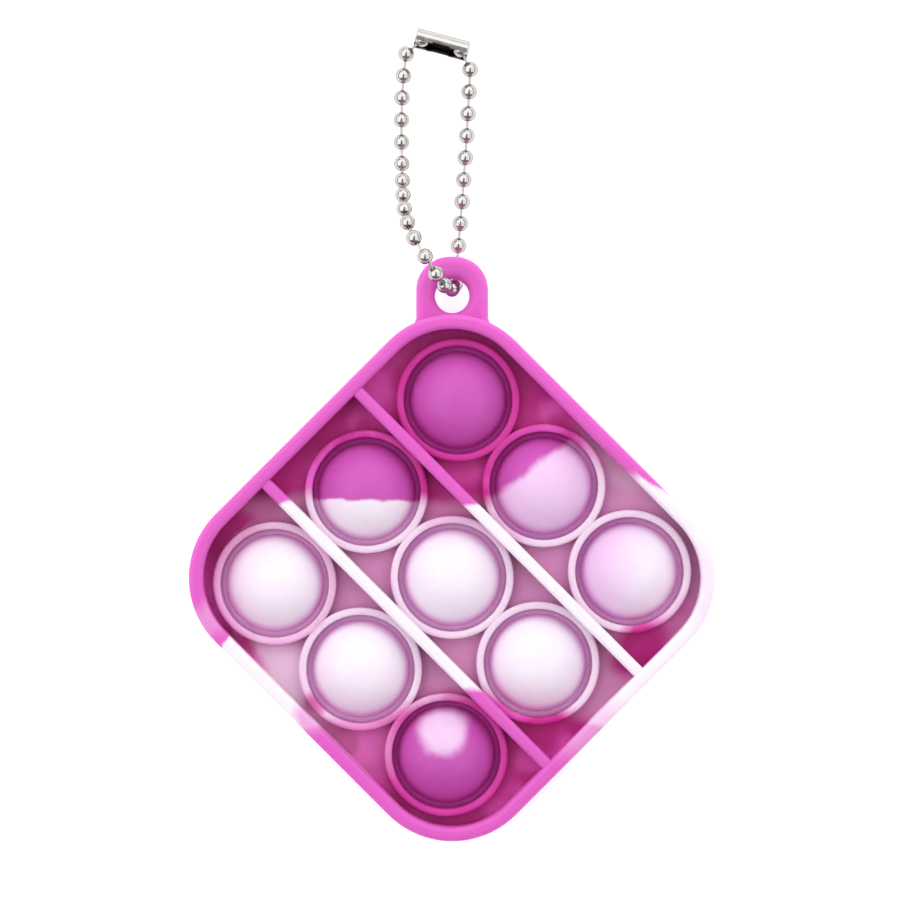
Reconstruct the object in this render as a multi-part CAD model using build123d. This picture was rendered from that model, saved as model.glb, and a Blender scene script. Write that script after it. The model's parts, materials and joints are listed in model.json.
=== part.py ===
from build123d import *
import math
import os

# A palm-sized press-bubble fidget on a ball chain. It lies on its back: +Z is the side the bubbles
# stand up on, +Y runs to the tab and the chain, and the origin is the tray's centre on the table.

# ---- tray: one silicone moulding, a square frame turned 45 degrees ----
SIDE = 63.2
CORNER_R = 13.4
THICK = 12.5
WALL = 2.1
RIM_ROUND = 0.8
TURN = -45.0

WEB_MID = THICK / 2
WEB_THICK = 1.4

RIB_THICK = 1.8
RIB_BELOW_RIM = 0.5
RIB_ROUND = 0.6

# ---- press bubbles: three rows of three, between the ribs ----
PITCH_ALONG = 18.1
PITCH_ACROSS = 19.35
RING_OUTER_R = 9.2
RING_HEIGHT = 2.3
RING_ROUND = 0.4
BORE_R = 8.1
BORE_ROUND = 0.35

MEMBRANE = 0.9
HINGE_OUTER_R = 8.02
DOME_BASE_R = 7.35
DOME_RISE = 5.5

# ---- tab: the flat lug at the top corner that the chain goes through ----
TAB_HALF_WIDTH = 5.4
TAB_TOP = 48.0
TAB_CORNER_R = 5.0
TAB_FLARE_R = 1.6
TAB_LOW = 4.5
TAB_HIGH = 8.0
TAB_ROUND = 1.3
TAB_HOLE_Y = 42.1
TAB_HOLE_R = 2.55
TAB_FOOT_INSET = 0.36
TAB_FOOT_STEP = 0.2

# ---- ball chain: hollow beads on short double-headed links ----
BEAD_R = 1.2
BEAD_WALL = 0.18
BEAD_HOLE_R = 0.43
BEAD_PITCH = 3.33
LINK_NECK_R = 0.18
LINK_HEAD_R = 0.46
LINK_HEAD_OFFSET = 0.52
ROUTE_BEADS = 26
CURL_LEVELS = 5

# ---- connector: the slotted tube that holds both ends of the chain ----
TUBE_OUTER_R = 1.52
TUBE_INNER_R = 1.30
TUBE_END_THICK = 0.25
TUBE_ROUND = 0.18
TUBE_END_HOLE_R = 0.9
TUBE_PAST_BEAD = 0.88
TUBE_SLOT = 2.2
SLOT_TILT = 30.0
WINDOW_LENGTH = 2.7
WINDOW_WIDTH = 2.5
TUBE_AXIS_Z = 1.56

# The chain's path: along the table, under the tab, up through its hole, over it and back down.
RIGHT_STRAND = [(2.7, 76.5, BEAD_R), (2.15, 66.0, BEAD_R), (1.6, 58.0, BEAD_R), (0.9, 49.6, BEAD_R)]
THROUGH_TAB = [
    (0.9, 49.6, BEAD_R), (0.7, 46.6, 1.45), (0.45, 44.2, 3.0), (0.1, 43.2, 6.0), (-0.9, 43.4, 9.2),
    (-2.3, 45.0, 12.2), (-3.9, 47.5, 13.8), (-5.4, 50.0, 13.3), (-6.5, 52.4, 11.4), (-7.1, 54.7, 8.9),
    (-7.35, 57.0, 6.3), (-7.5, 59.4, 3.8), (-7.6, 62.1, 1.8), (-7.65, 65.4, BEAD_R),
]
LEFT_STRAND = [(-7.65, 65.4, BEAD_R), (-7.65, 70.5, BEAD_R), (-7.4, 75.3, BEAD_R), (-6.8, 80.0, BEAD_R)]
RIGHT_END_TARGET = (1.3, 79.5, TUBE_AXIS_Z)
LEFT_END_TARGET = (-4.6, 80.95, TUBE_AXIS_Z)

TURNED = Rot(0, 0, TURN)
SAME = 1e-4
SEARCH_END = 1e-6
SEARCH_AHEAD = 1.5


def rounded_square(side, corner_r):
    return TURNED * RectangleRounded(side, side, corner_r)


def edges_at(shape, *heights):
    """The edges that lie flat at one of these heights."""
    found = []
    for edge in shape.edges():
        box = edge.bounding_box()
        if box.size.Z < SAME and any(abs(box.min.Z - z) < SAME for z in heights):
            found.append(edge)
    return found


def bubble_places():
    """The bubbles' axes by name. A row runs along the ribs, and left is its end nearer the tab."""
    places = {}
    rows = {"upper": PITCH_ACROSS, "middle": 0.0, "lower": -PITCH_ACROSS}
    columns = {"left": -PITCH_ALONG, "centre": 0.0, "right": PITCH_ALONG}
    for row, across in rows.items():
        for column, along in columns.items():
            spot = Vector(along, across, 0).rotate(Axis.Z, TURN)
            places[f"{row}_{column}"] = (spot.X, spot.Y)
    return places


def rim():
    outline = rounded_square(SIDE, CORNER_R) - rounded_square(SIDE - 2 * WALL, CORNER_R - WALL)
    frame = extrude(outline, THICK)
    return fillet(edges_at(frame, 0, THICK), RIM_ROUND)


def rib(across):
    length = SIDE - WALL
    height = THICK - 2 * RIB_BELOW_RIM
    bar = Box(length, RIB_THICK, height)
    bar = fillet(bar.edges().filter_by(Axis.X), RIB_ROUND)
    return TURNED * Pos(0, across, WEB_MID) * bar


def bubble_seat(x, y):
    """The raised ring round one bubble, on both faces of the web."""
    disc = Cylinder(RING_OUTER_R, WEB_THICK + 2 * RING_HEIGHT)
    disc = fillet(disc.edges().filter_by(GeomType.CIRCLE), RING_ROUND)
    return Pos(x, y, WEB_MID) * disc


def tab():
    corner_y = (SIDE / 2 - CORNER_R) * math.sqrt(2)
    foot_y = corner_y + CORNER_R - WALL + TAB_FOOT_INSET
    flare_x = TAB_HALF_WIDTH + TAB_FLARE_R
    flare_y = corner_y + math.sqrt((CORNER_R + TAB_FLARE_R) ** 2 - flare_x**2)
    reach = CORNER_R / (CORNER_R + TAB_FLARE_R)
    touch = (flare_x * reach, corner_y + (flare_y - corner_y) * reach)
    half_turn = math.atan2(flare_y - corner_y, flare_x) / 2
    flare_mid = (flare_x - TAB_FLARE_R * math.cos(half_turn), flare_y - TAB_FLARE_R * math.sin(half_turn))
    shoulder_y = TAB_TOP - TAB_CORNER_R
    top_x = TAB_HALF_WIDTH - TAB_CORNER_R
    side = [
        Line((0, foot_y), (touch[0] - TAB_FOOT_STEP, foot_y)),
        Line((touch[0] - TAB_FOOT_STEP, foot_y), touch),
        ThreePointArc(touch, flare_mid, (TAB_HALF_WIDTH, flare_y)),
        Line((TAB_HALF_WIDTH, flare_y), (TAB_HALF_WIDTH, shoulder_y)),
        CenterArc((top_x, shoulder_y), TAB_CORNER_R, 0, 90),
        Line((top_x, TAB_TOP), (0, TAB_TOP)),
    ]
    outline = make_face(side + [mirror(edge, Plane.YZ) for edge in side])
    outline -= Pos(0, TAB_HOLE_Y) * Circle(TAB_HOLE_R)
    lug = Pos(0, 0, TAB_LOW) * extrude(outline, TAB_HIGH - TAB_LOW)
    shown = [edge for edge in edges_at(lug, TAB_LOW, TAB_HIGH) if edge.center().Y > touch[1] + SAME]
    return fillet(shown, TAB_ROUND)


def tray():
    web = extrude(rounded_square(SIDE - WALL, CORNER_R - WALL / 2), WEB_THICK)
    body = rim() + Pos(0, 0, WEB_MID - WEB_THICK / 2) * web
    body += [rib(side * PITCH_ACROSS / 2) for side in (-1, 1)]
    places = bubble_places().values()
    body += [bubble_seat(x, y) for x, y in places]
    body -= [Pos(x, y, WEB_MID) * Cylinder(BORE_R, THICK) for x, y in places]
    ring_faces = (WEB_MID - WEB_THICK / 2 - RING_HEIGHT, WEB_MID + WEB_THICK / 2 + RING_HEIGHT)
    circles = [edge for edge in edges_at(body, *ring_faces) if edge.geom_type == GeomType.CIRCLE]
    bores = [edge for edge in circles if abs(edge.radius - BORE_R) < SAME]
    body = fillet(bores, BORE_ROUND)
    return body + tab()


def bubble(x, y):
    """One dome with the thin ring of membrane that it hinges on, a little clear of the tray."""
    low = WEB_MID - MEMBRANE / 2
    high = WEB_MID + MEMBRANE / 2
    inner_base_r = DOME_BASE_R - MEMBRANE
    outer_ball = (DOME_BASE_R**2 + DOME_RISE**2) / (2 * DOME_RISE)
    inner_ball = (inner_base_r**2 + DOME_RISE**2) / (2 * DOME_RISE)
    outer_via = 0.6 * DOME_BASE_R
    inner_via = 0.6 * inner_base_r

    def on_cap(base_z, ball, r):
        return base_z + DOME_RISE - ball + math.sqrt(ball**2 - r**2)

    profile = [
        Line((0, low + DOME_RISE), (0, high + DOME_RISE)),
        ThreePointArc(
            (0, high + DOME_RISE),
            (outer_via, on_cap(high, outer_ball, outer_via)),
            (DOME_BASE_R, high),
        ),
        Line((DOME_BASE_R, high), (HINGE_OUTER_R, high)),
        Line((HINGE_OUTER_R, high), (HINGE_OUTER_R, low)),
        Line((HINGE_OUTER_R, low), (inner_base_r, low)),
        ThreePointArc(
            (inner_base_r, low),
            (inner_via, on_cap(low, inner_ball, inner_via)),
            (0, low + DOME_RISE),
        ),
    ]
    section = Plane.XZ * make_face(profile)
    return Pos(x, y, 0) * revolve(section, Axis.Z)


def step_towards(start, target, distance):
    return start + (target - start).normalized() * distance


def point_along(strands, distance):
    for strand in strands:
        if distance <= strand.length:
            return strand @ (distance / strand.length)
        distance -= strand.length
    return strands[-1] @ 1


def bead_centres():
    """The beads in order: the right inner one, down the route to the tab and back, the left inner one."""
    strands = [Spline(*points) for points in (RIGHT_STRAND, THROUGH_TAB, LEFT_STRAND)]
    centres = [strands[0] @ 0]
    along = 0.0
    for _ in range(ROUTE_BEADS - 1):
        near, far = along, along + SEARCH_AHEAD * BEAD_PITCH
        while far - near > SEARCH_END:
            middle = (near + far) / 2
            if (point_along(strands, middle) - centres[-1]).length < BEAD_PITCH:
                near = middle
            else:
                far = middle
        along = far
        centres.append(point_along(strands, along))
    right_inner = step_towards(centres[0], Vector(*RIGHT_END_TARGET), BEAD_PITCH)
    left_inner = step_towards(centres[-1], Vector(*LEFT_END_TARGET), BEAD_PITCH)
    return [right_inner] + centres + [left_inner]


def along_z(start, direction):
    """A plane at start whose Z axis points along direction."""
    return Plane(origin=start, z_dir=direction)


def bead(centres, index):
    """A hollow bead with a hole on each side, each facing the link that goes into it."""
    here = centres[index]
    ways = [(centres[i] - here).normalized() for i in (index - 1, index + 1) if 0 <= i < len(centres)]
    if len(ways) == 1:
        ways.append(-ways[0])
    shell = Pos(here) * (Sphere(BEAD_R) - Sphere(BEAD_R - BEAD_WALL))
    for way in ways:
        hole = Cylinder(BEAD_HOLE_R, 2 * BEAD_R, align=(Align.CENTER, Align.CENTER, Align.MIN))
        shell -= along_z(here, way) * hole
    return shell


def link(start, end):
    """A double-headed link from inside one bead to inside the next."""
    way = (end - start).normalized()
    first = start + way * LINK_HEAD_OFFSET
    last = end - way * LINK_HEAD_OFFSET
    neck = Cylinder(LINK_NECK_R, (last - first).length, align=(Align.CENTER, Align.CENTER, Align.MIN))
    return along_z(first, way) * neck + Pos(first) * Sphere(LINK_HEAD_R) + Pos(last) * Sphere(LINK_HEAD_R)


def connector(left, right):
    """A slotted tube round the two inner beads, with a window in its middle to put them in by.

    The slot faces into the chain's loop and partly up, and is narrower than a bead.
    """
    axis = (right - left).normalized()
    middle = (left + right) / 2
    end = (right - left).length / 2 + TUBE_PAST_BEAD + TUBE_END_THICK
    # local x runs along the tube and local -y faces into the chain's loop
    frame = Plane(origin=middle, x_dir=axis, z_dir=(0, 0, 1))
    tube = Rot(0, 90, 0) * Cylinder(TUBE_OUTER_R, 2 * end)
    tube = fillet(tube.edges().filter_by(GeomType.CIRCLE), TUBE_ROUND)
    tube -= Rot(0, 90, 0) * Cylinder(TUBE_INNER_R, 2 * (end - TUBE_END_THICK))
    tube -= Rot(0, 90, 0) * Cylinder(TUBE_END_HOLE_R, 3 * end)
    opening = Rot(-SLOT_TILT, 0, 0) * Pos(0, -TUBE_OUTER_R, 0)
    tube -= opening * Box(3 * end, 2 * TUBE_OUTER_R, TUBE_SLOT)
    tube -= opening * Box(WINDOW_LENGTH, 2 * TUBE_OUTER_R, WINDOW_WIDTH)
    return frame * tube


def curl_beads(level):
    """The two beads, right and left, that one level of the curling loop hangs from."""
    return CURL_LEVELS - level + 1, ROUTE_BEADS - CURL_LEVELS + level - 1


def chain_bodies(count):
    """Which beads and links move together. A link is numbered by the lower of its two beads."""
    bodies = {}
    first_right, first_left = curl_beads(1)
    bodies["chain_at_tab"] = {
        "beads": list(range(first_right, first_left + 1)),
        "links": list(range(first_right, first_left)),
    }
    for level in range(1, CURL_LEVELS):
        right, left = curl_beads(level)
        bodies[f"loop_level_{level}"] = {"beads": [right - 1, left + 1], "links": [right - 1, left]}
    right, left = curl_beads(CURL_LEVELS)
    bodies["loop_top"] = {
        "beads": list(range(0, right)) + list(range(left + 1, count)),
        "links": list(range(0, right)) + list(range(left, count - 1)),
    }
    return bodies


def bead_name(index):
    return f"bead_{index + 1:02d}"


def link_name(index):
    return f"link_{index + 1:02d}"


def build():
    nodes = {"tray": tray()}
    for place, (x, y) in bubble_places().items():
        nodes[f"bubble_{place}"] = bubble(x, y)
    centres = bead_centres()
    for index in range(len(centres)):
        nodes[bead_name(index)] = bead(centres, index)
    for body, members in chain_bodies(len(centres)).items():
        links = {i: link(centres[i], centres[i + 1]) for i in members["links"]}
        if body == "chain_at_tab":
            nodes["links_at_tab"] = Compound(children=list(links.values()))
        else:
            nodes.update({link_name(i): piece for i, piece in links.items()})
    nodes["connector"] = connector(centres[-1], centres[0])
    return nodes


os.makedirs("parts", exist_ok=True)
for name, shape in build().items():
    export_step(shape, f"parts/{name}.step")
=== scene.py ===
# %% [markdown]
# # A press-bubble fidget on a ball chain
# The toy is one square of marbled silicone with nine thin bubbles, hung from a short ball chain. Its
# tray, its slotted connector and the place of every piece come from the CAD frame that is loaded
# here. Blender adds what the CAD leaves plain: thin domes for the bubbles, finer beads and links,
# and finishes.

# %% Load the frame
import json
import math

import bmesh
import bpy
from mathutils import Matrix, Vector


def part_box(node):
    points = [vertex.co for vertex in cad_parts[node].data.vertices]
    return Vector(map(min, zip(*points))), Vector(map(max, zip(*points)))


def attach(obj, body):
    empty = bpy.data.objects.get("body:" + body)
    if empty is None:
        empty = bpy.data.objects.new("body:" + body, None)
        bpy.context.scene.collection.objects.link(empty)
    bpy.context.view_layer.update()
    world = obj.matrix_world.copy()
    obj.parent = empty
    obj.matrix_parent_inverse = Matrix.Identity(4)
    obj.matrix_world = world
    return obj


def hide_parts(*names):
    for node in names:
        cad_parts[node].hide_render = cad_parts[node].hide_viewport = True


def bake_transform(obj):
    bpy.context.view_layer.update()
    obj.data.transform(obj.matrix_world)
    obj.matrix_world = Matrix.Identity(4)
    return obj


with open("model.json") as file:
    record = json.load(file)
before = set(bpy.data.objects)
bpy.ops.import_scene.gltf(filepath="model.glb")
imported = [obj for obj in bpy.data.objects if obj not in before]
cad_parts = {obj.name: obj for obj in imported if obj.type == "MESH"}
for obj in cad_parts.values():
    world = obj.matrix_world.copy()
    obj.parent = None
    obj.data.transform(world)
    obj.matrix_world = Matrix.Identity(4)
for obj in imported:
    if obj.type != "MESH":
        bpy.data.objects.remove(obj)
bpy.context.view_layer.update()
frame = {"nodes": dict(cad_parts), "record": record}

MM = 0.001
bodies = frame["record"]["behaviour"]["bodies"]
print("bodies:", len(bodies), "nodes:", len(frame["nodes"]))

# %% [markdown]
# ## Camera
# The toy lies on its back and is looked at from straight above. A long lens a fair way up keeps the
# square nearly free of perspective, so the walls of the tray show only as thin dark lines.

# %% Set the camera
CAMERA_HEIGHT = 0.62
VIEW_WIDTH = 0.1378
VIEW_CENTRE = Vector((0.0011, 0.0176, 0.006))
SENSOR = 36.0

camera_data = bpy.data.cameras.new("camera")
camera_data.sensor_width = SENSOR
camera_data.lens = SENSOR * CAMERA_HEIGHT / VIEW_WIDTH
camera = bpy.data.objects.new("camera", camera_data)
camera.location = VIEW_CENTRE + Vector((0, 0, CAMERA_HEIGHT))
bpy.context.scene.collection.objects.link(camera)
bpy.context.scene.camera = camera
bpy.context.scene.view_settings.view_transform = "Standard"
print("lens:", round(camera_data.lens, 1), "mm")

# %% [markdown]
# ## Light
# Product pictures of such toys are lit high-key, with light so soft that shadows hardly show. One way
# is a bright world alone, but then metal looks flat, because it mirrors the same white everywhere.
# Here two tall softboxes stand left and right and a low one behind the chain, and the sky above the
# camera stays dim, which gives each bead the dark middle line and bright sides of real plating.

# %% Hang the lamps
WORLD_LEVEL = 0.24
LAMP_DISTANCE = 0.55
LAMP_WATTS = 1.36

# name: bearing from +Y and height above the table in degrees, width and height in metres, strength
SOFTBOXES = {
    "softbox_left": (-76, 50, 0.85, 0.60, 1.9),
    "softbox_right": (84, 50, 0.85, 0.60, 1.45),
    "softbox_behind": (8, 34, 0.55, 0.40, 0.75),
}


def softbox(name, bearing, height, wide, tall, strength):
    """A rectangular lamp at its bearing and height, turned to face the toy."""
    bearing, height = math.radians(bearing), math.radians(height)
    lamp = bpy.data.lights.new(name, "AREA")
    lamp.shape = "RECTANGLE"
    lamp.size = wide
    lamp.size_y = tall
    lamp.energy = LAMP_WATTS * strength
    holder = bpy.data.objects.new(name, lamp)
    level = math.cos(height)
    away = Vector((math.sin(bearing) * level, math.cos(bearing) * level, math.sin(height)))
    holder.location = VIEW_CENTRE + away * LAMP_DISTANCE
    holder.rotation_mode = "QUATERNION"
    holder.rotation_quaternion = away.to_track_quat("Z", "Y")
    bpy.context.scene.collection.objects.link(holder)


for name, settings in SOFTBOXES.items():
    softbox(name, *settings)

world = bpy.data.worlds.new("studio")
bpy.context.scene.world = world
world.use_nodes = True
world.node_tree.nodes["Background"].inputs["Color"].default_value = (1, 1, 1, 1)
world.node_tree.nodes["Background"].inputs["Strength"].default_value = WORLD_LEVEL
print("lamps:", list(SOFTBOXES))

# %% [markdown]
# ## A few helpers for materials
# Every finish below is a small tree of nodes. Writing `add(tree, kind, ...)` with the inputs in
# order keeps each tree readable as a list of steps instead of a screen of wires. The other helpers
# name the steps that come back most: a sum, a noise, a soft step from one value to another.

# %% Material helpers
NUMBER_FROM_VECTORS = ("LENGTH", "DISTANCE", "DOT_PRODUCT")


def feed(tree, socket, value):
    """Wires an output into a socket, or sets a plain value on it. None leaves it as it is."""
    if isinstance(value, bpy.types.NodeSocket):
        tree.links.new(value, socket)
    elif value is not None:
        socket.default_value = value


def add(tree, kind, *values, **settings):
    """A new node with its settings, and its inputs fed in order."""
    node = tree.nodes.new(kind)
    for key, value in settings.items():
        setattr(node, key, value)
    for socket, value in zip(node.inputs, values):
        feed(tree, socket, value)
    return node


def feed_named(tree, node, values):
    """Feeds a node's inputs by their names."""
    for name, value in values.items():
        feed(tree, node.inputs[name], value)


def maths(tree, operation, *values):
    return add(tree, "ShaderNodeMath", *values, operation=operation).outputs[0]


def vectors(tree, operation, *values):
    """A sum on vectors. Lengths, distances and dot products come out as numbers."""
    node = add(tree, "ShaderNodeVectorMath", *values, operation=operation)
    return node.outputs["Value" if operation in NUMBER_FROM_VECTORS else "Vector"]


def scaled(tree, vector, factor):
    node = add(tree, "ShaderNodeVectorMath", vector, operation="SCALE")
    feed_named(tree, node, {"Scale": factor})
    return node.outputs["Vector"]


def stretch(tree, value, low, high, first, second, shape="LINEAR"):
    """First at low and below, second at high and above, and in between by the shape."""
    node = add(
        tree, "ShaderNodeMapRange", value, low, high, first, second, interpolation_type=shape
    )
    return node.outputs["Result"]


def soft_step(tree, value, low, high):
    """0 below low, 1 above high, and a smooth turn between them."""
    return stretch(tree, value, low, high, 0.0, 1.0, "SMOOTHSTEP")


def noise(tree, place, scale, detail, roughness=0.5):
    """The node of a noise with so many lumps to a unit of place."""
    return add(tree, "ShaderNodeTexNoise", place, None, scale, detail, roughness)


def mix(tree, factor, first, second, blend="MIX"):
    """The first colour at a factor of 0, and the second, blended in, at 1."""
    node = add(tree, "ShaderNodeMix", data_type="RGBA", blend_type=blend)
    sockets = {socket.identifier: socket for socket in node.inputs}
    feed(tree, sockets["Factor_Float"], factor)
    feed(tree, sockets["A_Color"], first)
    feed(tree, sockets["B_Color"], second)
    return next(socket for socket in node.outputs if socket.identifier == "Result_Color")


def roughen(tree, shader, relief, strength, depth):
    """Tilts the surface as if the relief were a real one of that depth."""
    node = add(tree, "ShaderNodeBump")
    feed_named(tree, node, {"Strength": strength, "Distance": depth, "Height": relief})
    feed_named(tree, shader, {"Normal": node.outputs["Normal"]})


def new_material(name):
    material = bpy.data.materials.new(name)
    material.use_nodes = True
    tree = material.node_tree
    return material, tree, tree.nodes["Principled BSDF"]


# %% [markdown]
# ## The table
# The table is only a stage: a big round white sheet whose edge sweeps up all round, so that from
# the side the toy stands before the same white. It is matt, with the faintest mottling so that it
# isn't a bare colour. Product tables are lit from below as well, so that the object's own shadow
# doesn't grey the white round it, and a little glow in the sheet does the same here.

# %% Finish of the table
TABLE_SHADES = ((0.93, 0.93, 0.93, 1), (0.95, 0.95, 0.95, 1))
MOTTLE_SCALE = 60.0
MOTTLE_DETAIL = 3.0
TABLE_GLOW = 0.45
FAR_GLOW = 0.78
GLOW_FROM = 0.3
GLOW_TO = 1.2


def table_white():
    material, tree, shader = new_material("table_white")
    spot = add(tree, "ShaderNodeTexCoord").outputs["Object"]
    mottle = noise(tree, spot, MOTTLE_SCALE, MOTTLE_DETAIL).outputs["Fac"]
    away = vectors(tree, "LENGTH", spot)
    feed_named(tree, shader, {
        "Base Color": mix(tree, mottle, *TABLE_SHADES),
        "Emission Strength": stretch(tree, away, GLOW_FROM, GLOW_TO, TABLE_GLOW, FAR_GLOW),
        "Emission Color": (1, 1, 1, 1),
        "Roughness": 0.9,
        "Specular IOR Level": 0.1,
    })
    return material


table_material = table_white()
print("glow:", TABLE_GLOW, "near the toy,", FAR_GLOW, "far off")

# %% [markdown]
# ### Its shape
# The sheet could be a plane, but then the line where it ends would show behind the toy in a low
# view. Spinning one profile, flat and then a quarter circle upwards, gives a bowl with no such line.

# %% Lay the table
TABLE_RADIUS = 2.0
SWEEP_RADIUS = 0.4
SWEEP_STEPS = 12
TABLE_SIDES = 96
WELD = 1e-5


def table_profile():
    """From the middle out, as (radius, height): flat, then a quarter circle upwards."""
    points = [(0.0, 0.0), (TABLE_RADIUS, 0.0)]
    for step in range(1, SWEEP_STEPS + 1):
        angle = math.pi / 2 * step / SWEEP_STEPS
        out = TABLE_RADIUS + SWEEP_RADIUS * math.sin(angle)
        points.append((out, SWEEP_RADIUS * (1 - math.cos(angle))))
    return points


def table_sheet():
    shape = bmesh.new()
    line = [shape.verts.new((radius, 0, height)) for radius, height in table_profile()]
    edges = [shape.edges.new(pair) for pair in zip(line, line[1:])]
    bmesh.ops.spin(
        shape, geom=line + edges, cent=(0, 0, 0), axis=(0, 0, 1), angle=2 * math.pi,
        steps=TABLE_SIDES,
    )
    bmesh.ops.remove_doubles(shape, verts=shape.verts, dist=WELD)
    bmesh.ops.recalc_face_normals(shape, faces=shape.faces)
    if sum(face.normal.z for face in shape.faces) < 0:
        bmesh.ops.reverse_faces(shape, faces=shape.faces)
    for face in shape.faces:
        face.smooth = True
    mesh = bpy.data.meshes.new("table")
    shape.to_mesh(mesh)
    shape.free()
    return mesh


table_top = bpy.data.objects.new("table", table_sheet())
table_top.data.materials.append(table_material)
bpy.context.scene.collection.objects.link(table_top)
print("table:", 2 * TABLE_RADIUS, "m across,", len(table_top.data.polygons), "faces")

# %% [markdown]
# ## Marbled silicone
# The tray is moulded from magenta and white silicone poured together, so the colour goes right
# through and its borders wander. It could be painted on with a texture, but the colour of a poured
# piece belongs to the place, not to the surface, so the material reads the object's own X and Y:
# magenta lies above one border line and below another, and everything between them is milky white.
# Where the pour strays from those two lines, an elliptical mark pulls it back.

# %% Colours of the pour
ORCHID = (0.69, 0.118, 0.53, 1)
# the dark crimson of the recess, partly marbling and partly painted shade
CRIMSON_MARBLING_AND_PAINTED_SHADE = (0.52, 0.012, 0.25, 1)
MAUVE = (0.74, 0.11, 0.53, 1)
MILK = (0.89, 0.82, 0.89, 1)
# the milk of the web in the recess: lilac, and darkened as painted shade
MILK_LILAC_IN_PAINTED_SHADE = (0.66, 0.30, 0.54, 1)

# the border of the upper magenta, and of the lower, as points in millimetres
UPPER_BORDER = [
    (-40, -16), (-33.5, -9), (-31, 1), (-26, 10.5), (-8, 11.6), (6, 11.6), (14, 16.5), (24.5, 18),
    (30, 13.5), (40, 10),
]
LOWER_BORDER = [(-40, -26), (-24, -22.5), (-14, -21), (4, -17), (13, -18.7), (22, -21.5), (40, -26)]

# Places where the pour leaves those two lines, or where the painted shade in the recess is made
# deeper or lighter. Each is an ellipse in millimetres: centre, radii, turn in degrees, softness of
# its edge, what it pulls towards, and how strongly.
RIM_MARKS = [
    ((-35.0, -5.5), (2.2, 5.0), -45, 0.5, 0.55, 0.5),
    ((-21.3, -21.0), (2.6, 1.3), -45, 0.5, 0.75, 0.8),
    ((37.5, -2.0), (2.5, 6.0), 0, 0.6, 0.12, 0.7),
    ((20.5, -22.0), (5.0, 2.4), 45, 0.6, 0.55, 0.6),
    ((22.5, 20.5), (7.0, 2.6), -45, 0.2, 1.0, 1.0),
]
WEB_MARKS = [
    ((-31.5, 9.0), (7.0, 4.0), 50, 0.35, 1.0, 1.0),
    ((-34.0, -7.5), (8.5, 2.4), -52, 0.4, 1.0, 0.9),
    ((-26.5, -0.9), (9.5, 9.5), 0, 0.04, 0.35, 0.8),
    ((-26.5, 9.2), (5.0, 2.2), -20, 0.5, 0.15, 0.7),
    ((28.3, -10.6), (5.2, 3.6), 45, 0.35, 1.0, 1.0),
    ((33.5, -6.0), (3.2, 1.8), 45, 0.6, 0.6, 0.6),
    ((-20.2, -18.8), (2.0, 1.6), 0, 0.5, 1.0, 0.9),
    ((-22.0, -24.0), (7.0, 4.5), -45, 0.6, 0.25, 0.7),
    ((-12.5, -25.0), (5.0, 5.0), 0, 0.6, 0.5, 0.6),
    ((12.4, -23.6), (4.2, 3.0), 45, 0.4, 1.0, 1.0),
    ((23.0, 18.4), (4.5, 1.8), -45, 0.6, 0.3, 0.8),
    ((0.0, 9.0), (4.5, 3.0), 0, 0.6, 0.45, 0.6),
    ((8.3, 8.3), (3.2, 3.2), 0, 0.6, 0.4, 0.8),
]
# marks where the painted shade on the milky web is lifted
PAINTED_SHADE_LIFT_MARKS = [
    ((-24.0, -15.0), (10.0, 3.4), -45, 0.5, 0.6, 0.9),
    ((24.0, 18.0), (6.0, 3.0), -45, 0.5, 0.4, 0.8),
]
# painted shade, partly marbling: marks that pull the recess magenta towards crimson, mostly along the
# walls, or back towards mauve
MARBLING_AND_PAINTED_SHADE_MARKS = [
    ((-31.5, 8.5), (8.0, 5.0), 50, 0.5, 1.0, 1.0),
    ((-22.0, 20.5), (14.0, 3.0), 45, 0.5, 1.0, 1.0),
    ((0.9, 26.5), (11.5, 11.5), 0, 0.3, 0.9, 0.9),
    ((28.3, -10.6), (5.2, 4.0), 45, 0.4, 1.0, 0.9),
    ((12.4, -23.6), (4.6, 3.4), 45, 0.4, 1.0, 1.0),
    ((-0.9, -26.5), (10.8, 10.8), 0, 0.3, 0.75, 0.9),
    ((-12.0, 29.0), (2.6, 3.4), 45, 0.5, 0.1, 0.9),
    ((22.0, 21.5), (7.0, 2.6), -45, 0.6, 0.2, 0.7),
    ((11.5, -27.4), (2.4, 2.0), 0, 0.5, 0.1, 0.9),
]
print("marks:", len(RIM_MARKS + WEB_MARKS + PAINTED_SHADE_LIFT_MARKS + MARBLING_AND_PAINTED_SHADE_MARKS))

# %% [markdown]
# ### Reading the place
# Each border is a curve of Y against X, which one Float Curve node holds. A little noise moves the
# place before it is read, so both borders wander as a real pour does. A mark is a circle of radius
# one in its own coordinates, which a Mapping node turns, stretches and moves to its place.

# %% Borders and marks
SPAN = 80.0
WANDER_SCALE = 0.16
WANDER_DETAIL = 3.0
WANDER_ROUGHNESS = 0.55
WANDER_REACH = 3.0
EVERY_WAY = (1, 1, 1)
LEVEL = (1, 1, 0)


def border_height(tree, x, points):
    """The border's Y at X, in millimetres, from a smooth curve through its points."""
    node = tree.nodes.new("ShaderNodeFloatCurve")
    curve = node.mapping.curves[0]
    places = [(0.5 + px / SPAN, 0.5 + py / SPAN) for px, py in points]
    curve.points[0].location = places[0]
    curve.points[1].location = places[-1]
    for place in places[1:-1]:
        curve.points.new(*place)
    node.mapping.update()
    feed_named(tree, node, {"Value": stretch(tree, x, -SPAN / 2, SPAN / 2, 0.0, 1.0)})
    return stretch(tree, node.outputs[0], 0.0, 1.0, -SPAN / 2, SPAN / 2)


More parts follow.
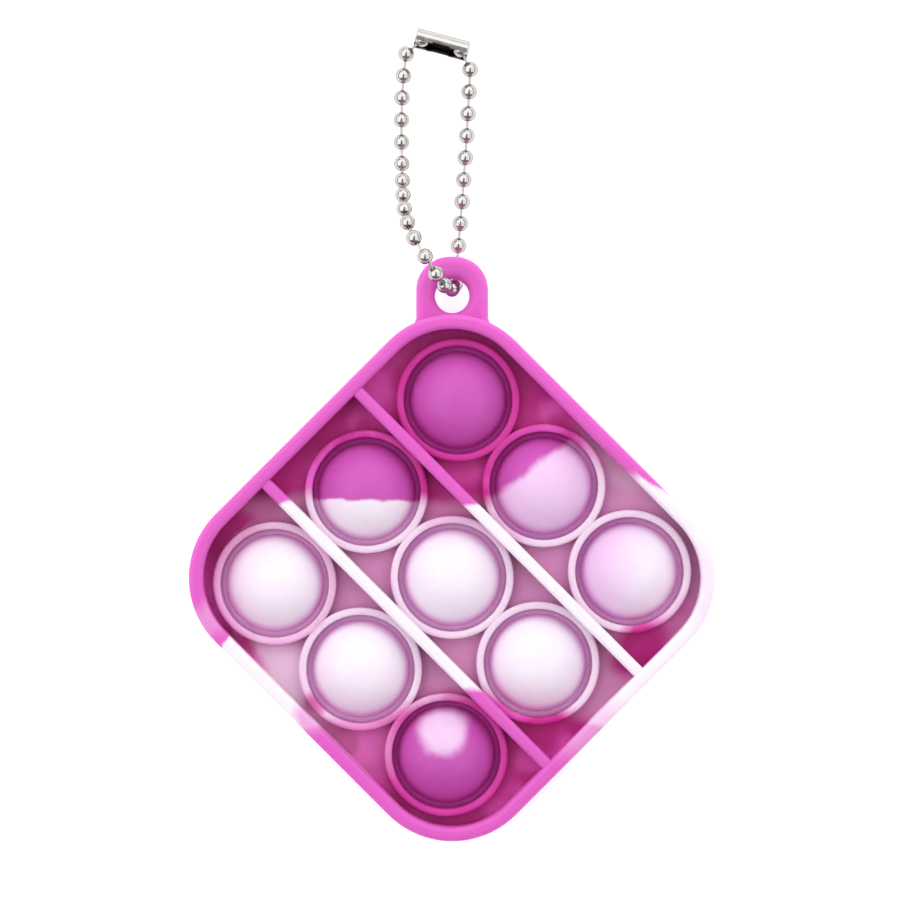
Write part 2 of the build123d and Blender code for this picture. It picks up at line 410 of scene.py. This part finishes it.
def place_in_mm(tree, ways=EVERY_WAY):
    """The point in millimetres, and the same point moved about a little by noise.

    With LEVEL for its ways the noise is the same at every height, so that the borders stay where
    they are on a piece that moves up and down.
    """
    coords = add(tree, "ShaderNodeTexCoord").outputs["Object"]
    point = scaled(tree, coords, 1 / MM)
    read_at = vectors(tree, "MULTIPLY", point, ways)
    wander = noise(tree, read_at, WANDER_SCALE, WANDER_DETAIL, WANDER_ROUGHNESS).outputs["Color"]
    centred = vectors(tree, "SUBTRACT", wander, (0.5, 0.5, 0.5))
    return point, vectors(tree, "ADD", point, scaled(tree, centred, WANDER_REACH))


def with_marks(tree, value, place, marks):
    """The value, pulled towards each mark's own value inside that mark."""
    for (mx, my), (rx, ry), turn, soft, towards, strength in marks:
        mapped = add(tree, "ShaderNodeMapping", place, vector_type="TEXTURE")
        feed_named(tree, mapped, {
            "Location": (mx, my, 0), "Rotation": (0, 0, math.radians(turn)), "Scale": (rx, ry, 1),
        })
        reach = vectors(tree, "LENGTH", mapped.outputs[0])
        inside = stretch(tree, reach, 1 - soft, 1 + soft, strength, 0.0, "SMOOTHSTEP")
        change = maths(tree, "SUBTRACT", towards, value)
        value = maths(tree, "MULTIPLY_ADD", change, inside, value)
    return value


print("borders drawn over", SPAN, "mm, wandering by up to", WANDER_REACH / 2, "mm")

# %% [markdown]
# ### The skin of silicone
# Moulded silicone is satin and a little translucent: light goes in, scatters and comes out pinker,
# which softens every edge. Subsurface scattering does that, and a fine grain keeps the highlights
# from being too clean. The tray and the bubbles share this skin and differ only in colour.

# %% Silicone skin
GRAIN_SCALE = 2.2
GRAIN_DETAIL = 4.0
GRAIN_ROUGHNESS = 0.6
GRAIN_RANGE = (0.3, 0.7)
SATIN_RANGE = (0.40, 0.52)
GRAIN_STRENGTH = 0.08
GRAIN_DEPTH = 0.05 * MM
SILICONE = {
    "Subsurface Weight": 0.6,
    "Subsurface Radius": (1.0, 0.35, 0.9),
    "Subsurface Scale": 2.0 * MM,
    "IOR": 1.41,
    "Specular IOR Level": 0.45,
}


def finish_silicone(tree, shader, colour, point):
    """The silicone's skin in one colour, with its grain read at the point."""
    grain = noise(tree, point, GRAIN_SCALE, GRAIN_DETAIL, GRAIN_ROUGHNESS).outputs["Fac"]
    satin = stretch(tree, grain, *GRAIN_RANGE, *SATIN_RANGE)
    feed_named(tree, shader, {"Base Color": colour, "Roughness": satin, **SILICONE})
    roughen(tree, shader, grain, GRAIN_STRENGTH, GRAIN_DEPTH)


print("silicone:", SILICONE)

# %% [markdown]
# ### The pour in the tray
# The rims, the outer wall and the tab show the pour crisply. In the recess the web is thin, so the
# borders blur. Light bounces between the coloured walls there, so both colours get painted shade
# and turn darker towards mid height.
# The material could look at normals for this, but height and the distance from the outline say the
# same more simply: near mid height is web, and near the outline is outer wall.

# %% Pour the tray
HALF_SIDE = 31.6
RIM_CORNER = 13.4
WALL_SKIN = (1.1, 0.5)
WALL_SLANT = 0.4
TAB_FROM = 38.0
TAB_TO = 39.0

# all in millimetres from mid height
RIM_LEVELS = (4.0, 5.4)
# between these heights the magenta goes from painted shade to its full colour
PAINTED_SHADE_LEVELS = (2.6, 5.4)
# between these heights the milk goes from painted shade to its full colour
MILK_PAINTED_SHADE_LEVELS = (0.6, 4.6)

BLUR_IN_WEB = 1.5
BLUR_ON_RIM = 0.5
LOWER_BLUR = 1.2
STREAK_SCALE = 0.13
STREAK_DETAIL = 2.0
STREAK_RANGE = (0.40, 0.60)

tray_low, tray_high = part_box("tray")
TRAY_TOP = tray_high.z / MM
WEB_MIDDLE = (tray_low.z + tray_high.z) / 2 / MM


def near_outer_wall(tree, point):
    """1 on the tray's outer wall and 0 inside it, from a rounded square turned by 45 degrees."""
    reach = []
    for way in ((1, 1, 0), (1, -1, 0)):
        along = vectors(tree, "DOT_PRODUCT", point, Vector(way).normalized())
        past = maths(tree, "SUBTRACT", maths(tree, "ABSOLUTE", along), HALF_SIDE - RIM_CORNER)
        reach.append(maths(tree, "MAXIMUM", past, 0.0))
    corner = add(tree, "ShaderNodeCombineXYZ", *reach, 0.0).outputs[0]
    start, end = WALL_SKIN
    return soft_step(tree, vectors(tree, "LENGTH", corner), RIM_CORNER - start, RIM_CORNER - end)


def pour_in_tray(tree, x, y, flat, on_rim):
    """How much of the silicone is magenta: 0 in the milky white and 1 in the magenta."""
    above = maths(tree, "SUBTRACT", y, border_height(tree, x, UPPER_BORDER))
    below = maths(tree, "SUBTRACT", border_height(tree, x, LOWER_BORDER), y)
    blur = stretch(tree, on_rim, 0.0, 1.0, BLUR_IN_WEB, BLUR_ON_RIM)
    upper = soft_step(tree, maths(tree, "DIVIDE", above, blur), -1.0, 1.0)
    lower = soft_step(tree, maths(tree, "DIVIDE", below, blur), -LOWER_BLUR, LOWER_BLUR)
    pour = maths(tree, "MAXIMUM", upper, lower)
    rim_pour = with_marks(tree, pour, flat, RIM_MARKS)
    web_pour = with_marks(tree, pour, flat, WEB_MARKS)
    difference = maths(tree, "SUBTRACT", rim_pour, web_pour)
    return maths(tree, "MULTIPLY_ADD", difference, on_rim, web_pour)


def tray_silicone():
    material, tree, shader = new_material("marbled_silicone")
    point, moved = place_in_mm(tree)
    x, y, _ = add(tree, "ShaderNodeSeparateXYZ", moved).outputs
    height = add(tree, "ShaderNodeSeparateXYZ", point).outputs["Z"]

    # the outer wall and the tab look like the rim at every height
    wall = near_outer_wall(tree, point)
    outside = maths(tree, "MAXIMUM", soft_step(tree, y, TAB_FROM, TAB_TO), wall)
    off_middle = maths(tree, "ABSOLUTE", maths(tree, "SUBTRACT", height, WEB_MIDDLE))
    on_rim = maths(tree, "MAXIMUM", soft_step(tree, off_middle, *RIM_LEVELS), outside)

    # down the outer wall the borders lean
    below_top = maths(tree, "SUBTRACT", TRAY_TOP, height)
    lean = maths(tree, "MULTIPLY", maths(tree, "MULTIPLY", wall, below_top), WALL_SLANT)
    y = maths(tree, "ADD", y, lean)
    flat = add(tree, "ShaderNodeCombineXYZ", x, y, 0.0).outputs[0]
    pour = pour_in_tray(tree, x, y, flat, on_rim)

    # painted shade: both colours turn darker towards mid height; the magenta's crimson streaks are
    # partly marbling and partly painted shade
    streaks = noise(tree, point, STREAK_SCALE, STREAK_DETAIL).outputs["Fac"]
    shade = with_marks(tree, soft_step(tree, streaks, *STREAK_RANGE), flat, MARBLING_AND_PAINTED_SHADE_MARKS)
    clear_of_painted_shade = maths(tree, "MAXIMUM", soft_step(tree, off_middle, *PAINTED_SHADE_LEVELS), outside)
    magenta = mix(tree, clear_of_painted_shade, mix(tree, shade, MAUVE, CRIMSON_MARBLING_AND_PAINTED_SHADE), ORCHID)
    # painted shade on the milky web towards mid height, lifted at its marks and kept off the rim
    pale = with_marks(tree, soft_step(tree, off_middle, *MILK_PAINTED_SHADE_LEVELS), flat, PAINTED_SHADE_LIFT_MARKS)
    milk = mix(tree, maths(tree, "MAXIMUM", pale, on_rim), MILK_LILAC_IN_PAINTED_SHADE, MILK)
    finish_silicone(tree, shader, mix(tree, pour, milk, magenta), point)
    return material


tray = frame["nodes"]["tray"]
tray.data.materials.clear()
tray.data.materials.append(tray_silicone())
print("tray height:", round((tray_high.z - tray_low.z) / MM, 2), "mm")

# %% [markdown]
# ### The pour in each bubble
# The bubbles are so thin that the pour shows in them more sharply than in the thick tray, and each
# one caught the two colours its own way: one all magenta, two split by an edge, one with a milky
# patch, the rest pale with a breath of lilac. So each gets its own material from one recipe: a base
# colour, then an optional tint, edge or patch given in millimetres from the bubble's middle. Nothing
# in the recipe looks at height, so a bubble keeps its colours when it is pressed.

# %% Bubble materials
PALE = (0.90, 0.80, 0.92, 1)
LILAC = (0.80, 0.57, 0.81, 1)
ROSE = (0.56, 0.095, 0.46, 1)
TINT_WAY = (-1, 0.2, 0)
TINT_RANGE = (-4.0, 5.0)
PATCH_RANGE = (0.6, 1.15)

# painted shade: towards the foot every bubble turns darker, where the groove round the dome lies,
# between these two distances from its middle
FOOT_PAINTED_SHADE = (0.88, 0.60, 0.82, 1)
FOOT_RANGE = (6.0, 7.45)

# edge: a point on it, the way to its rose side, softness; patch: its middle, its radii
POURS = {
    "bubble_upper_left": {"base": ROSE},
    "bubble_middle_left": {"base": PALE, "edge": ((0.0, -1.2), (0.03, 1.0), 0.35)},
    "bubble_upper_centre": {"base": LILAC, "edge": ((-2.3, 2.4), (-0.6, 0.8), 0.7)},
    "bubble_upper_right": {"base": PALE, "tint": LILAC},
    "bubble_lower_right": {"base": ROSE, "patch": ((-0.4, 3.7), (4.1, 3.9))},
}


def pour_in_bubble(tree, local, base, tint=None, edge=None, patch=None):
    """The bubble's colour at a place that is given from its middle."""
    colour = base
    if tint:
        across = vectors(tree, "DOT_PRODUCT", local, TINT_WAY)
        colour = mix(tree, soft_step(tree, across, *TINT_RANGE), colour, tint)
    if edge:
        (ex, ey), (nx, ny), soft = edge
        offset = vectors(tree, "SUBTRACT", local, (ex, ey, 0.0))
        side = vectors(tree, "DOT_PRODUCT", offset, (nx, ny, 0.0))
        colour = mix(tree, soft_step(tree, side, -soft, soft), colour, ROSE)
    if patch:
        (px, py), (rx, ry) = patch
        offset = vectors(tree, "SUBTRACT", local, (px, py, 0.0))
        reach = vectors(tree, "LENGTH", vectors(tree, "MULTIPLY", offset, (1 / rx, 1 / ry, 0.0)))
        colour = mix(tree, soft_step(tree, reach, *PATCH_RANGE), LILAC, colour)
    return colour


def bubble_silicone(node, centre):
    material, tree, shader = new_material(f"{node}_silicone")
    point, moved = place_in_mm(tree, LEVEL)
    middle = (centre.x / MM, centre.y / MM, 0.0)
    local = vectors(tree, "SUBTRACT", moved, middle)
    colour = pour_in_bubble(tree, local, **POURS.get(node, {"base": PALE}))
    # painted shade of the groove, darkening each bubble towards its foot
    aside = vectors(tree, "DISTANCE", vectors(tree, "MULTIPLY", point, LEVEL), middle)
    in_painted_foot_shade = mix(tree, 1.0, colour, FOOT_PAINTED_SHADE, "MULTIPLY")
    colour = mix(tree, soft_step(tree, aside, *FOOT_RANGE), colour, in_painted_foot_shade)
    finish_silicone(tree, shader, colour, point)
    return material


print("bubbles with a pour of their own:", len(POURS))

# %% [markdown]
# ## Bubbles as thin domes
# Each bubble is a thin dome that stands on a flat ring of membrane, and pressing it turns it
# inside out. The dome is a lathe shape: a short profile, spun about the bubble's axis.

# %% Lathe
ON_AXIS = 1e-9


def ring(shape, radius, height, segments):
    """One turn of vertices, or a single one where the profile meets the axis."""
    if radius < ON_AXIS:
        return [shape.verts.new((0, 0, height))]
    turns = [2 * math.pi * k / segments for k in range(segments)]
    return [shape.verts.new((radius * math.cos(a), radius * math.sin(a), height)) for a in turns]


def lathe(name, profile, segments):
    """A closed solid spun about Z from (radius, height) points that start and end on the axis."""
    shape = bmesh.new()
    rings = [ring(shape, radius, height, segments) for radius, height in profile]
    for low, high in zip(rings, rings[1:]):
        for k in range(segments):
            corners = dict.fromkeys([
                low[k % len(low)], low[(k + 1) % len(low)],
                high[(k + 1) % len(high)], high[k % len(high)],
            ])
            if len(corners) > 2:
                shape.faces.new(list(corners))
    bmesh.ops.recalc_face_normals(shape, faces=shape.faces)
    for face in shape.faces:
        face.smooth = True
    mesh = bpy.data.meshes.new(name)
    shape.to_mesh(mesh)
    shape.free()
    return mesh


# %% [markdown]
# ### One profile for all nine
# Seen in section, a bubble is an arc outside and a shorter one inside, a membrane's thickness
# apart, joined at the foot by a thin lip that runs into the web. All nine are alike, and only their
# places differ, so each takes its crown, its foot and its middle from its own CAD node.

# %% Spin the bubbles
DOME_FOOT_R = 7.35 * MM
MEMBRANE = 0.9 * MM
ROOT_R = 8.3 * MM
LIP_OUT = 0.12 * MM
LIP_DROP = 0.02 * MM
ROOT_DROP = 0.03 * MM
RINGS = 28
SEGMENTS = 96


def middle_of(node):
    low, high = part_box(node)
    return (low + high) / 2


def arc(radius, centre, sweep):
    """(radius, height) points down a circle on the axis, from its top through the sweep."""
    turns = [sweep * k / RINGS for k in range(RINGS + 1)]
    return [(radius * math.sin(turn), centre + radius * math.cos(turn)) for turn in turns]


def bubble_profile(apex, foot_z, root_z):
    """From the crown down the outside, round the root in the web, and back up the inside."""
    rise = apex - foot_z
    ball = (DOME_FOOT_R**2 + rise**2) / (2 * rise)
    sweep = math.asin(DOME_FOOT_R / ball)
    if rise >= ball:
        sweep = math.pi - sweep
    centre = apex - ball
    outside = arc(ball, centre, sweep)
    inside = arc(ball - MEMBRANE, centre, math.acos((root_z - centre) / (ball - MEMBRANE)))
    outside[0] = (0.0, apex)
    inside[0] = (0.0, apex - MEMBRANE)
    lip = [
        (DOME_FOOT_R + LIP_OUT, foot_z - LIP_DROP), (ROOT_R, foot_z - ROOT_DROP), (ROOT_R, root_z),
    ]
    return outside + lip + inside[::-1]


def make_bubble(node):
    low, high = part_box(node)
    centre = middle_of(node)
    mesh = lathe(f"{node}_skin", bubble_profile(high.z, low.z + MEMBRANE, low.z), SEGMENTS)
    mesh.transform(Matrix.Translation((centre.x, centre.y, 0)))
    mesh.materials.append(bubble_silicone(node, centre))
    piece = bpy.data.objects.new(f"{node}_skin", mesh)
    bpy.context.scene.collection.objects.link(piece)
    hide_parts(node)
    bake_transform(piece)
    return piece


bubble_nodes = sorted(name for name in frame["nodes"] if name.startswith("bubble_"))
bubbles = [make_bubble(name) for name in bubble_nodes]
print("bubbles:", len(bubbles), "of", len(bubbles[0].data.polygons), "faces each")

# %% [markdown]
# ## Nickel plate
# The beads and the connector are thin sheet, plated with nickel. Plating is a mirror with small
# faults: a slightly warm grey, a roughness that wanders a little, and fine rubbing marks. A seam
# runs down each bead where its strip was rolled together, so the bead's mesh carries the angle
# round its own axis, and the finish draws a thin line where that angle is nought. Inside the
# connector the sheet is bare and dark, so its finish looks at the distance from the tube's axis.

# %% Metal materials
CLOUD_SCALE = 900.0
CLOUD_DETAIL = 3.0
CLOUD_ROUGHNESS = 0.6
CLOUD_RANGE = (0.3, 0.7)
CLOUDED = 0.86
WEAR = 0.1
RUB_SCALE = 4000.0
RUB_DETAIL = 2.0
RUB_ROUGHNESS = 0.7
RELIEF_STRENGTH = 0.25
RELIEF_DEPTH = 0.01 * MM
SEAM_RANGE = (0.03, 0.16)
SEAM_SHADE = 0.35
SEAM_DEPTH = 4.0
TUBE_BORE_R = 1.30 * MM
BORE_SKIN = (0.03 * MM, 0.10 * MM)
BARE_STEEL = (0.10, 0.085, 0.08, 1)
EDGE_TINT = (0.40, 0.39, 0.38, 1)


def dimmed(colour, share=1.0):
    """The colour at a share of its brightness, with an alpha of 1."""
    return tuple(share * part for part in colour) + (1,)


def past_bore(tree, coords, start, end, radius):
    """0 inside the bore from start to end, and 1 out in the skin round it."""
    offset = vectors(tree, "SUBTRACT", coords, start)
    aside = vectors(tree, "CROSS_PRODUCT", offset, (end - start).normalized())
    inner, outer = BORE_SKIN
    return soft_step(tree, vectors(tree, "LENGTH", aside), radius + inner, radius + outer)


def nickel(name, colour, roughness, seam=False, bore=None):
    material, tree, shader = new_material(name)
    coords = add(tree, "ShaderNodeTexCoord").outputs["Object"]
    cloud = noise(tree, coords, CLOUD_SCALE, CLOUD_DETAIL, CLOUD_ROUGHNESS).outputs["Fac"]
    relief = noise(tree, coords, RUB_SCALE, RUB_DETAIL, RUB_ROUGHNESS).outputs["Fac"]
    shade = mix(tree, cloud, dimmed(colour, CLOUDED), dimmed(colour))
    if seam:
        around = add(tree, "ShaderNodeAttribute", attribute_name="around").outputs["Fac"]
        line = soft_step(tree, maths(tree, "ABSOLUTE", around), *SEAM_RANGE)
        shade = mix(tree, line, dimmed(colour, SEAM_SHADE), shade)
        relief = maths(tree, "MULTIPLY_ADD", line, SEAM_DEPTH, relief)
    if bore:
        shade = mix(tree, past_bore(tree, coords, *bore), BARE_STEEL, shade)
    feed_named(tree, shader, {
        "Base Color": shade,
        "Metallic": 1.0,
        "Roughness": stretch(tree, cloud, *CLOUD_RANGE, roughness, roughness + WEAR),
        "Specular Tint": EDGE_TINT,
    })
    roughen(tree, shader, relief, RELIEF_STRENGTH, RELIEF_DEPTH)
    return material


bead_metal = nickel("nickel_beads", (0.56, 0.54, 0.515), 0.10, seam=True)
link_metal = nickel("nickel_links", (0.52, 0.50, 0.48), 0.2)
tube_bore = (middle_of("bead_28"), middle_of("bead_01"), TUBE_BORE_R)
connector_metal = nickel("nickel_connector", (0.60, 0.585, 0.565), 0.16, bore=tube_bore)
frame["nodes"]["connector"].data.materials.clear()
frame["nodes"]["connector"].data.materials.append(connector_metal)
print("metals:", [metal.name for metal in (bead_metal, link_metal, connector_metal)])

# %% [markdown]
# ## Beads on a string
# A ball chain is the same bead over and over along a path. Copying a mesh by hand for each place
# would work, but Geometry Nodes say it once: a tree makes one bead, drills it, and puts it on every
# point that it is given, turned to the way the chain runs there. The points of each rigid stretch
# of chain are a small mesh of their own, so each stretch comes out as one plain piece. The helpers
# here are what the bead's tree and the link's tree share.

# %% Geometry Nodes helpers
def new_tree(name, sizes):
    """A geometry tree with named float inputs for its sizes."""
    tree = bpy.data.node_groups.new(name, "GeometryNodeTree")
    tree.interface.new_socket("Points", in_out="INPUT", socket_type="NodeSocketGeometry")
    for size in sizes:
        tree.interface.new_socket(size, in_out="INPUT", socket_type="NodeSocketFloat")
    tree.interface.new_socket("Piece", in_out="OUTPUT", socket_type="NodeSocketGeometry")
    return tree, tree.nodes.new("NodeGroupInput")


def named(tree, name, kind):
    """Reads an attribute that the points carry."""
    node = add(tree, "GeometryNodeInputNamedAttribute", name, data_type=kind)
    return node.outputs["Attribute"]


def place_parts(tree):
    """X, Y and Z of each vertex of the shape."""
    place = tree.nodes.new("GeometryNodeInputPosition").outputs[0]
    return add(tree, "ShaderNodeSeparateXYZ", place).outputs


def moved_to(tree, shape, x, y, z):
    """The shape with its vertices at new places."""
    node = add(tree, "GeometryNodeSetPosition", shape)
    place = add(tree, "ShaderNodeCombineXYZ", x, y, z).outputs[0]
    feed_named(tree, node, {"Position": place})
    return node.outputs[0]


def put_on_points(tree, entry, shape, scale, material):
    """Instances of shape on the points, along each one's way, made real and given their finish."""
    smooth = add(tree, "GeometryNodeSetShadeSmooth", shape)
    turn = add(tree, "FunctionNodeAlignRotationToVector", axis="Z")
    feed_named(tree, turn, {"Vector": named(tree, "way", "FLOAT_VECTOR")})
    spread = tree.nodes.new("GeometryNodeInstanceOnPoints")
    feed_named(tree, spread, {
        "Points": entry.outputs["Points"],
        "Instance": smooth.outputs[0],
        "Rotation": turn.outputs["Rotation"],
        "Scale": scale,
    })
    real = add(tree, "GeometryNodeRealizeInstances", spread.outputs[0])
    finish = add(tree, "GeometryNodeSetMaterial", real.outputs[0])
    feed_named(tree, finish, {"Material": material})
    tree.links.new(finish.outputs[0], tree.nodes.new("NodeGroupOutput").inputs[0])


def seed_points(name, points, attributes):
    """A mesh of loose points with their attributes, each given as name: (kind, values)."""
    mesh = bpy.data.meshes.new(name)
    mesh.from_pydata([tuple(point) for point in points], [], [])
    for key, (kind, values) in attributes.items():
        attribute = mesh.attributes.new(key, kind, "POINT")
        field = "vector" if kind == "FLOAT_VECTOR" else "value"
        for item, value in zip(attribute.data, values):
            setattr(item, field, value)
    return mesh


def grow(name, tree, points, attributes, sizes):
    """Runs a tree on a set of points and returns the result as a plain mesh object."""
    seed_mesh = seed_points(name + "_points", points, attributes)
    seed_object = bpy.data.objects.new(name + "_points", seed_mesh)
    bpy.context.scene.collection.objects.link(seed_object)
    modifier = seed_object.modifiers.new("tree", "NODES")
    modifier.node_group = tree
    for item in tree.interface.items_tree:
        if item.item_type == "SOCKET" and item.in_out == "INPUT" and item.name in sizes:
            modifier[item.identifier] = float(sizes[item.name])
    seen = seed_object.evaluated_get(bpy.context.evaluated_depsgraph_get())
    mesh = bpy.data.meshes.new_from_object(seen)
    mesh.name = name
    bpy.data.objects.remove(seed_object)
    piece = bpy.data.objects.new(name, mesh)
    bpy.context.scene.collection.objects.link(piece)
    return piece


# %% [markdown]
# ### One bead
# A real bead is a strip rolled into a hollow ball, with a hole at each end where the links leave.
# Cutting holes would be one way, but the links fill them, so all that shows is a dent at each pole:
# the tree starts from a ball and pushes the skin near its axis inwards. It also writes down the
# angle round the axis on each vertex, which the finish reads to draw the seam.

# %% The bead tree
BEAD_SIDES = 36
BEAD_RINGS = 40
DENT_RANGE = (0.82, 1.08)
DENT_HEIGHT = 0.45


def bead_tree():
    tree, entry = new_tree("string_of_beads", ["Bead radius", "Hole radius"])
    ball = add(tree, "GeometryNodeMeshUVSphere", BEAD_SIDES, BEAD_RINGS, entry.outputs["Bead radius"])
    x, y, z = place_parts(tree)
    squares = [maths(tree, "MULTIPLY", part, part) for part in (x, y)]
    off_axis = maths(tree, "SQRT", maths(tree, "ADD", *squares))
    in_holes = maths(tree, "DIVIDE", off_axis, entry.outputs["Hole radius"])
    lowered = stretch(tree, in_holes, *DENT_RANGE, DENT_HEIGHT, 1.0, "SMOOTHSTEP")
    drilled = moved_to(tree, ball.outputs[0], x, y, maths(tree, "MULTIPLY", z, lowered))
    marked = add(
        tree, "GeometryNodeStoreNamedAttribute", drilled, data_type="FLOAT", domain="POINT"
    )
    feed_named(tree, marked, {"Name": "around", "Value": maths(tree, "ARCTAN2", y, x)})
    put_on_points(tree, entry, marked.outputs[0], None, bead_metal)
    return tree


beads_tree = bead_tree()
print("nodes in the bead tree:", len(beads_tree.nodes))

# %% [markdown]
# ### One link
# Between two beads only the neck of their link shows: a thin rod that widens where it goes into
# each bead. The tree makes a rod of length one, widens it towards both ends, and stretches each
# copy by the reach that its point carries, since the beads aren't all the same distance apart.

# %% The link tree
LINK_SIDES = 20
LINK_STEPS = 12
FLARE_POWER = 3.0


def link_tree():
    tree, entry = new_tree("row_of_links", ["Neck radius", "Flare"])
    rod = add(
        tree, "GeometryNodeMeshCylinder", LINK_SIDES, LINK_STEPS, 1, entry.outputs["Neck radius"], 1.0
    )
    x, y, z = place_parts(tree)
    from_middle = maths(tree, "ABSOLUTE", maths(tree, "MULTIPLY", z, 2.0))
    toward_end = maths(tree, "POWER", from_middle, FLARE_POWER)
    widen = maths(tree, "MULTIPLY_ADD", toward_end, entry.outputs["Flare"], 1.0)
    wider = [maths(tree, "MULTIPLY", part, widen) for part in (x, y)]
    flared = moved_to(tree, rod.outputs[0], *wider, z)
    reach = add(tree, "ShaderNodeCombineXYZ", 1.0, 1.0, named(tree, "reach", "FLOAT"))
    put_on_points(tree, entry, flared, reach.outputs[0], link_metal)
    return tree


links_tree = link_tree()
print("nodes in the link tree:", len(links_tree.nodes))

# %% [markdown]
# ### The whole chain
# The CAD nodes say where each bead sits, and the record says which beads move together. So each
# body with beads gets one piece of beads and one of links. The 16 links near the tab are a single
# CAD node, while the others are a node each, numbered by the bead that they leave from.

# %% String the chain
HOLE_SHARE = 0.36
NECK_SHARE = 0.16
REACH_SHARE = 0.80
FLARE = 0.7

bead_nodes = sorted(name for name in frame["nodes"] if name.startswith("bead_"))
centres = [middle_of(name) for name in bead_nodes]
bead_widths = [(high - low).x for low, high in map(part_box, bead_nodes)]
BEAD_R = max(bead_widths) / 2
LINK_REACH = REACH_SHARE * BEAD_R
BEAD_SIZES = {"Bead radius": BEAD_R, "Hole radius": HOLE_SHARE * BEAD_R}
LINK_SIZES = {"Neck radius": NECK_SHARE * BEAD_R, "Flare": FLARE}


def way_at(index):
    """The way the chain runs at a bead: from the bead before it to the one after."""
    before = centres[max(index - 1, 0)]
    after = centres[min(index + 1, len(centres) - 1)]
    return (after - before).normalized()


def string_beads(body, nodes, numbers):
    ways = [way_at(i) for i in numbers]
    beads = grow(
        f"beads_{body}", beads_tree, [centres[i] for i in numbers],
        {"way": ("FLOAT_VECTOR", ways)}, BEAD_SIZES,
    )
    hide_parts(*nodes)
    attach(beads, body)


def string_links(body, nodes, joins):
    pairs = [(centres[i], centres[i + 1]) for i in joins]
    ways = [(b - a).normalized() for a, b in pairs]
    reaches = [(b - a).length - 2 * (BEAD_R - LINK_REACH) for a, b in pairs]
    links = grow(
        f"links_{body}", links_tree, [(a + b) / 2 for a, b in pairs],
        {"way": ("FLOAT_VECTOR", ways), "reach": ("FLOAT", reaches)}, LINK_SIZES,
    )
    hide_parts(*nodes)
    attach(links, body)


for body, members in bodies.items():
    here = [name for name in members if name.startswith("bead_")]
    rods = [name for name in members if name.startswith("link")]
    if not here:
        continue
    numbers = [bead_nodes.index(name) for name in here]
    if rods == ["links_at_tab"]:
        joins = [i for i in numbers if i + 1 in numbers]
    else:
        joins = [int(name.split("_")[1]) - 1 for name in rods]
    string_beads(body, here, numbers)
    string_links(body, rods, joins)
    print(body, "beads", len(numbers), "links", len(joins))
